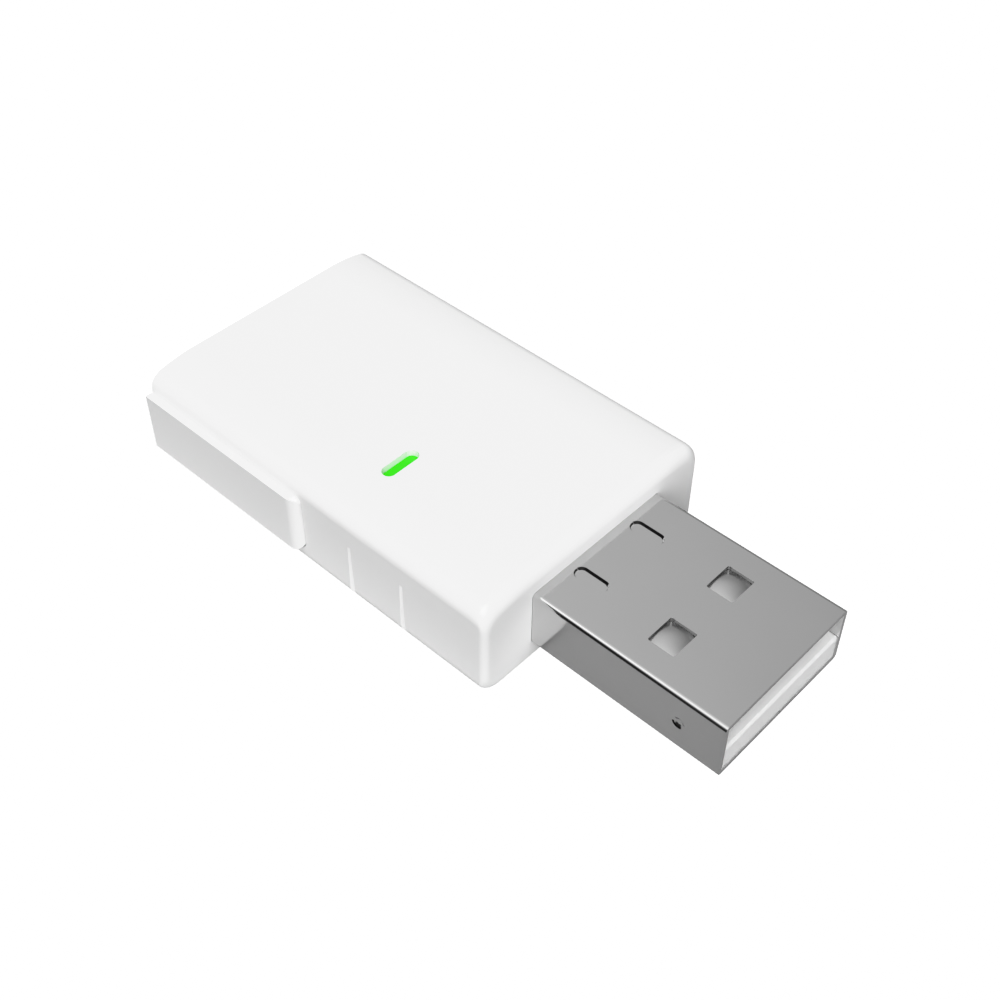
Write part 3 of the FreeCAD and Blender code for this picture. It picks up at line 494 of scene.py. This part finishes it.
class Pattern(Net):
    """A Geometry Nodes tree that repeats one shape at places. Its sizes are named inputs."""

    def __init__(self, name, sizes):
        super().__init__(bpy.data.node_groups.new(name, "GeometryNodeTree"))
        self.tree.is_modifier = True
        self.name = name
        self.sizes = sizes
        self.tree.interface.new_socket("Shape", in_out="OUTPUT", socket_type="NodeSocketGeometry")
        self.tree.interface.new_socket("Places", in_out="INPUT", socket_type="NodeSocketGeometry")
        for size in sizes:
            self.tree.interface.new_socket(size, in_out="INPUT", socket_type="NodeSocketFloat")
        self.inputs = self.tree.nodes.new("NodeGroupInput")

    def given(self, name):
        """One of the tree's inputs, by name."""
        return Wire(self, self.inputs.outputs[name])

    def together(self, x, y, z):
        """Vector of three numbers."""
        return self.node("ShaderNodeCombineXYZ", {}, {0: x, 1: y, 2: z})

    def repeat(self, shape, places):
        """One shape at every place."""
        return self.node("GeometryNodeInstanceOnPoints", {}, {"Points": places, "Instance": shape})

    def make(self, repeated, material, places, slot, last_steps=()):
        """Ends the tree, turns what it makes into a plain mesh and sets it on the housing."""
        whole = self.node("GeometryNodeRealizeInstances", {}, {0: repeated})
        painted = self.node("GeometryNodeSetMaterial", {}, {0: whole, "Material": material})
        self.node("NodeGroupOutput", {}, {0: painted})
        start = bpy.data.meshes.new(self.name)
        start.from_pydata([tuple(place) for place in places], [], [])
        piece = bpy.data.objects.new(self.name, start)
        bpy.context.scene.collection.objects.link(piece)
        grow = piece.modifiers.new("grow", "NODES")
        grow.node_group = self.tree
        for item in self.tree.interface.items_tree:
            if item.name in self.sizes:
                grow[item.identifier] = self.sizes[item.name]
        for kind, settings in last_steps:
            step = piece.modifiers.new(kind.lower(), kind)
            for name, value in settings.items():
                setattr(step, name, value)
        evaluated = piece.evaluated_get(bpy.context.evaluated_depsgraph_get())
        finished = bpy.data.meshes.new_from_object(evaluated)
        piece.modifiers.clear()
        piece.data = finished
        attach(piece, "housing")
        return piece


def window_leaves(steel):
    """Satin leaf, slightly domed, seen in each of the plug's two windows."""
    leaf = Pattern("window_leaves", LEAF_SIZES)
    sheet = leaf.node("GeometryNodeMeshGrid", {}, {
        "Size X": leaf.given("Length"), "Size Y": leaf.given("Width"),
        "Vertices X": 25, "Vertices Y": 29,
    })
    spot = leaf.node("GeometryNodeInputPosition")
    past_x = leaf.along(0, spot) - leaf.given("Crest X")
    past_y = leaf.along(1, spot) - leaf.given("Crest Y")
    drop = (past_x * past_x + past_y * past_y) / (leaf.given("Bow") * -2.0)
    offset = leaf.together(0.0, 0.0, drop)
    bowed = leaf.node("GeometryNodeSetPosition", {}, {"Geometry": sheet, "Offset": offset})
    smooth = leaf.node("GeometryNodeSetShadeSmooth", {}, {0: bowed})
    places = [(WINDOW_MIDDLE.x, side * WINDOW_MIDDLE.y, LEAF_TOP_Z) for side in (-1, 1)]
    thick = ("SOLIDIFY", {"thickness": LEAF_SHEET, "offset": -1.0})
    leaf.make(leaf.repeat(smooth, leaf.given("Places")), steel, places, "plug_steel", [thick])


def chip_ends(node):
    """Middle of each end of the small chips in a row, and the size of one chip."""
    low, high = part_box(node)
    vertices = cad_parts[node].data.vertices
    levels = sorted({round(vertex.co.y, LEVEL_DIGITS) for vertex in vertices})
    ends = []
    for y_low, y_high in zip(levels[::2], levels[1::2]):
        ends += [(x, (y_low + y_high) / 2, (low[2] + high[2]) / 2) for x in (low[0], high[0])]
    return ends, (high[0] - low[0], levels[1] - levels[0], high[2] - low[2])


def end_caps(name, node, tin):
    """Tinned caps round both ends of each small chip."""
    ends, (length, width, height) = chip_ends(node)
    cap = Pattern(name, {
        "Wrap": CAP_WRAP * length, "Width": width + CAP_LIP, "Height": height + CAP_LIP,
    })
    block = cap.node("GeometryNodeMeshCube", {}, {
        "Size": cap.together(cap.given("Wrap"), cap.given("Width"), cap.given("Height")),
    })
    rounded = ("BEVEL", {"width": CAP_ROUND, "segments": 2})
    cap.make(cap.repeat(block, cap.given("Places")), tin, ends, "plug_steel", [rounded])


def via_rings(gold):
    """Plated holes that stitch the ground round the shield can."""
    low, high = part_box("shield_can")
    board_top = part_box("circuit_board")[1][2]
    run, across = (high[axis] - low[axis] + RING_MARGIN[axis] for axis in (0, 1))
    ring = Pattern("via_rings", {"Run": run, "Across": across, **RING_SIZES})
    border = ring.node("GeometryNodeCurvePrimitiveQuadrilateral", {}, {
        "Width": ring.given("Run"), "Height": ring.given("Across"),
    })
    spots = ring.node("GeometryNodeResampleCurve", {"mode": "LENGTH"}, {
        "Curve": border, "Length": ring.given("Pitch"),
    })
    lip, bead = (
        ring.node("GeometryNodeCurvePrimitiveCircle", {}, {
            "Resolution": corners, "Radius": ring.given(size),
        })
        for size, corners in (("Radius", 14), ("Bead", 6))
    )
    hoop = ring.node("GeometryNodeCurveToMesh", {}, {"Curve": lip, "Profile Curve": bead})
    around = ring.repeat(hoop, spots)
    middle = ((low[0] + high[0]) / 2, (low[1] + high[1]) / 2, board_top)
    ring.make(ring.repeat(around, ring.given("Places")), gold, [middle], "gold_contact")


def solder_domes(tin):
    """Solder over the four contact tails and the two tabs of the plug's shell."""
    board_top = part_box("circuit_board")[1][2]
    dome = Pattern("solder_domes", DOME_SIZES)
    ball = dome.node("GeometryNodeMeshUVSphere", {}, {"Segments": 20, "Rings": 12, "Radius": 0.5})
    stretch = dome.together(*(dome.given(size) for size in DOME_SIZES))
    squashed = dome.node("GeometryNodeTransform", {}, {"Geometry": ball, "Scale": stretch})
    smooth = dome.node("GeometryNodeSetShadeSmooth", {}, {0: squashed})
    places = [(x * MM, y * MM, board_top) for x, y in CONTACT_TAILS + SHELL_TABS]
    dome.make(dome.repeat(smooth, dome.given("Places")), tin, places, "plug_steel")


def add_camera():
    """Camera at the photograph's place, angle and lens."""
    azimuth = math.radians(CAMERA_AZIMUTH)
    elevation = math.radians(CAMERA_ELEVATION)
    roll = math.radians(CAMERA_ROLL)
    flat = math.cos(elevation)
    forward = Vector((-flat * math.sin(azimuth), flat * math.cos(azimuth), -math.sin(elevation)))
    right = forward.cross(Vector((0.0, 0.0, 1.0))).normalized()
    down = forward.cross(right)
    turned_right = math.cos(roll) * right + math.sin(roll) * down
    turned_down = math.cos(roll) * down - math.sin(roll) * right
    data = bpy.data.cameras.new("photo_camera")
    data.lens = CAMERA_LENS
    data.sensor_width = CAMERA_SENSOR
    data.clip_start = CAMERA_NEAR
    data.clip_end = CAMERA_FAR
    camera = bpy.data.objects.new("photo_camera", data)
    turn = Matrix((turned_right, -turned_down, -forward)).transposed().to_4x4()
    camera.matrix_world = Matrix.Translation(CAMERA_PLACE) @ turn
    bpy.context.scene.collection.objects.link(camera)
    bpy.context.scene.camera = camera


def add_floor():
    """Plain white floor. To all but the camera it is a pale sheet on a dark table."""
    mesh = bpy.data.meshes.new("floor")
    half = FLOOR_SIZE / 2
    corners = [(-half, -half, 0), (half, -half, 0), (half, half, 0), (-half, half, 0)]
    mesh.from_pydata(corners, [], [(0, 1, 2, 3)])
    floor = bpy.data.objects.new("floor", mesh)
    bpy.context.scene.collection.objects.link(floor)
    finish = Finish("pale_floor")
    glow = finish.node("ShaderNodeEmission", {}, {"Color": PAPER_WHITE, "Strength": FLOOR_WHITE})
    matt = finish.node("ShaderNodeBsdfDiffuse", {}, {"Color": PAPER_WHITE})
    shown = finish.node("ShaderNodeMixShader", {}, {0: FLOOR_GLOW, 1: matt, 2: glow})
    past = finish.outside(finish.vector("SUBTRACT", finish.place(), SHEET_CENTRE), SHEET_HALF)
    falloff = finish.rise(past, 0.0, SHEET_FADE, SHEET_BOUNCE, TABLE_BOUNCE)
    sheet = finish.node("ShaderNodeBsdfDiffuse", {}, {"Color": falloff})
    seen = finish.node("ShaderNodeLightPath", output="Is Camera Ray")
    mixed = finish.node("ShaderNodeMixShader", {}, {0: seen, 1: sheet, 2: shown})
    finish.node("ShaderNodeOutputMaterial", {}, {"Surface": mixed})
    mesh.materials.append(finish.material)


def add_sky():
    """Soft surroundings, with the main light behind the camera. The camera sees plain white."""
    sky = Finish("studio", bpy.data.worlds)
    towards = sky.node("ShaderNodeTexCoord")

    def lit_area(azimuth, elevation, strength, tightness):
        """Light from one soft area, strongest at its middle."""
        flat = math.cos(math.radians(elevation))
        middle = (
            flat * math.cos(math.radians(azimuth)),
            flat * math.sin(math.radians(azimuth)),
            math.sin(math.radians(elevation)),
        )
        facing = sky.vector("DOT_PRODUCT", towards, middle, output="Value")
        return facing.at_least(0.0) ** tightness * strength

    height = sky.vector("DOT_PRODUCT", towards, (0.0, 0.0, 1.0), output="Value")
    level = lit_area(*SKY_KEY) + lit_area(*SKY_LOW) * (1.0 - sky.rise(height, LOW_FULL, LOW_GONE))
    opened = sky.rise(height, HORIZON_DARK, HORIZON_LIGHT)
    for area in SKY_HIGH:
        level = level + lit_area(*area) * opened
    light, backdrop = (
        sky.node("ShaderNodeBackground", {}, {"Color": PAPER_WHITE, "Strength": strength})
        for strength in (level, BACKDROP_WHITE)
    )
    seen = sky.node("ShaderNodeLightPath", output="Is Camera Ray")
    mixed = sky.node("ShaderNodeMixShader", {}, {0: seen, 1: light, 2: backdrop})
    sky.node("ShaderNodeOutputWorld", {}, {"Surface": mixed})
    bpy.context.scene.world = sky.material


def develop():
    """Plain view transform with a soft shoulder: bright plastic stays just under paper white."""
    view = bpy.context.scene.view_settings
    view.view_transform = "Standard"
    view.use_curve_mapping = True
    mapping = view.curve_mapping
    mapping.white_level = (WHITE_LEVEL, WHITE_LEVEL, WHITE_LEVEL)
    curve = mapping.curves[COMBINED_CURVE]
    for scene_light, shown in SHOULDER:
        curve.points.new(scene_light / WHITE_LEVEL, shown)
    for point in curve.points:
        point.handle_type = "VECTOR"
    mapping.update()


add_camera()
add_floor()
add_sky()
dress_all()
develop()
